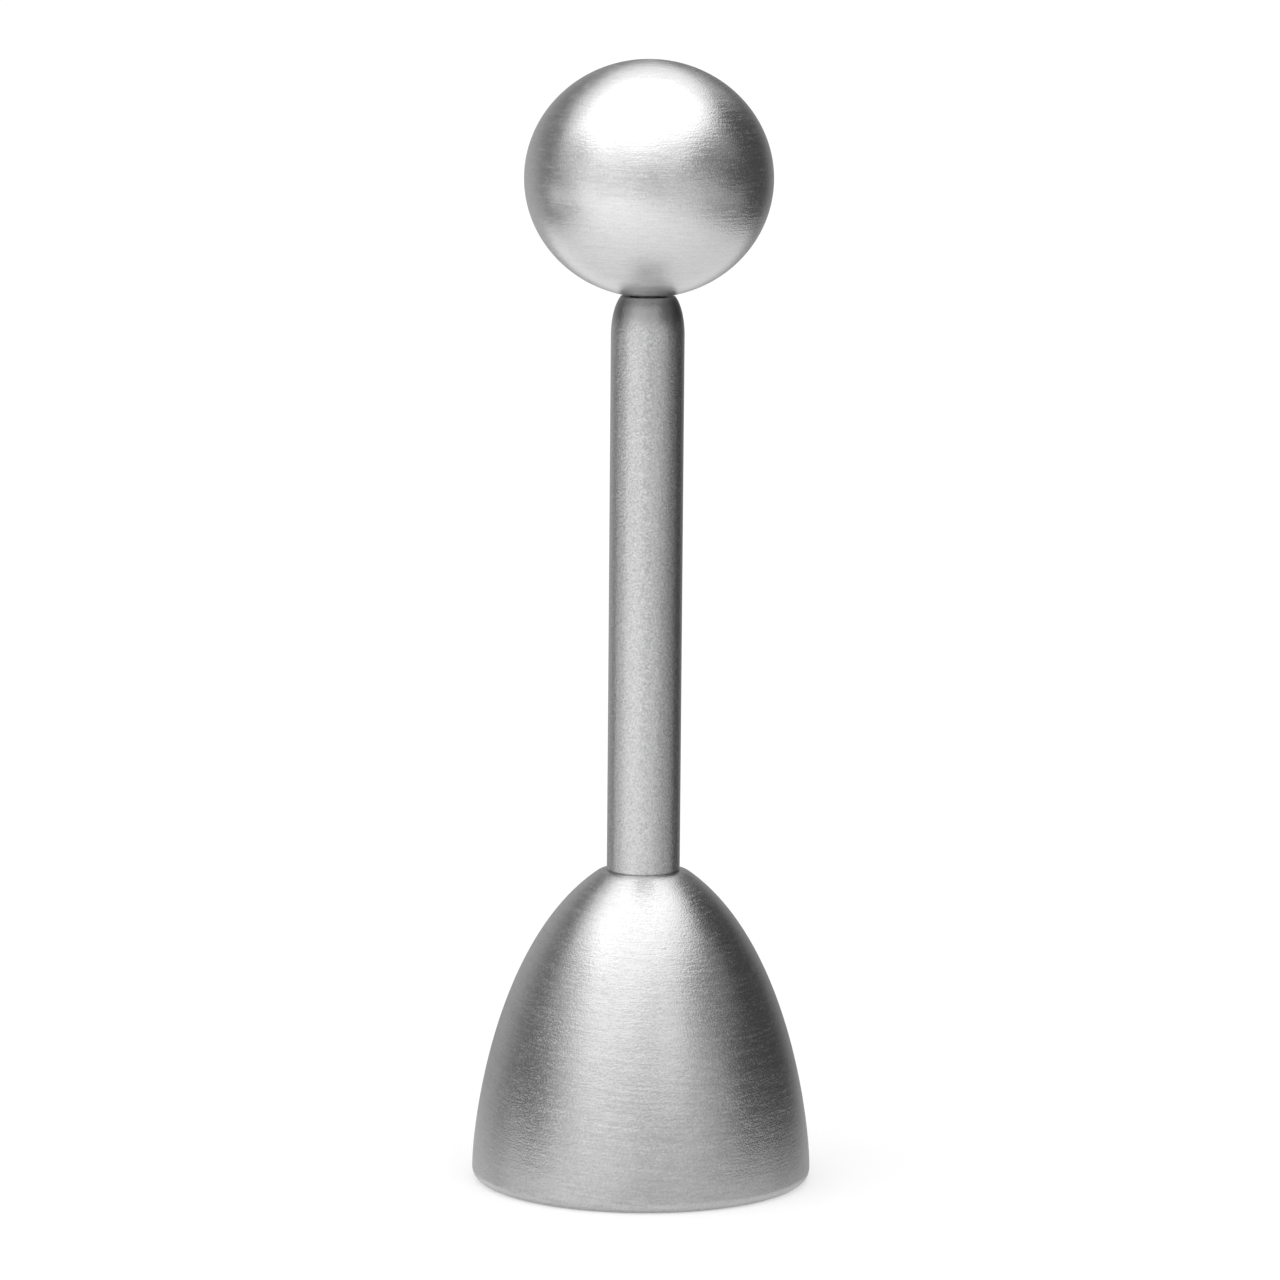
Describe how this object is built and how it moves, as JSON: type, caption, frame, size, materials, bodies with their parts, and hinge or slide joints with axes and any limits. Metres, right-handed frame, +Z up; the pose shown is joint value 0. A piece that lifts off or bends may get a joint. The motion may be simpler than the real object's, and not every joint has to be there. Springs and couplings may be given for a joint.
{
  "type": "egg topper",
  "caption": "Spring-loaded egg topper: open bell with a turned-in rim, slender handle tube and a ball knob that is pulled up and let go.",
  "frame": {"origin": "centre of the bell's rim, on the surface that the rim stands on", "axes": "+Z up along the tool's axis, from the rim to the ball knob; X and Y are level"},
  "size_m": [0.04, 0.04, 0.132],
  "materials": {
    "bell_steel": "satin, fine brushing round the bell",
    "tube_steel": "fine matt satin",
    "knob_steel": "satin, fine brushing round the ball",
    "rod_steel": "ground smooth",
    "turned_steel": "turned",
    "fastener_steel": "plain bright",
    "spring_steel": "drawn wire, plain",
    "bush_plastic": "moulded acetal, matt"
  },
  "bodies": {
    "handle": {"bell": "bell_steel", "handle_tube": "tube_steel", "guide_bush": "bush_plastic", "anvil": "turned_steel", "bell_washer": "fastener_steel", "lock_washer": "spring_steel", "bell_screw": "fastener_steel", "spring": "spring_steel"},
    "spring_seat": {"spring_washer": "fastener_steel"},
    "plunger": {"knob_upper_shell": "knob_steel", "knob_lower_shell": "knob_steel", "knob_insert": "knob_steel", "pull_rod": "rod_steel", "striker": "turned_steel", "striker_pin": "spring_steel"}
  },
  "joints": [
    {"name": "knob_pull", "type": "slide", "parent": "handle", "child": "spring_seat", "axis": [0, 0, 1], "range_m": [0, 0.018], "stiffness_N_per_m": 840, "springref_m": -0.005, "deforming": ["spring"]},
    {"name": "knob_spin", "type": "hinge", "parent": "spring_seat", "child": "plunger", "pos_m": [0, 0, 0.0607], "axis": [0, 0, 1], "continuous": true}
  ]
}
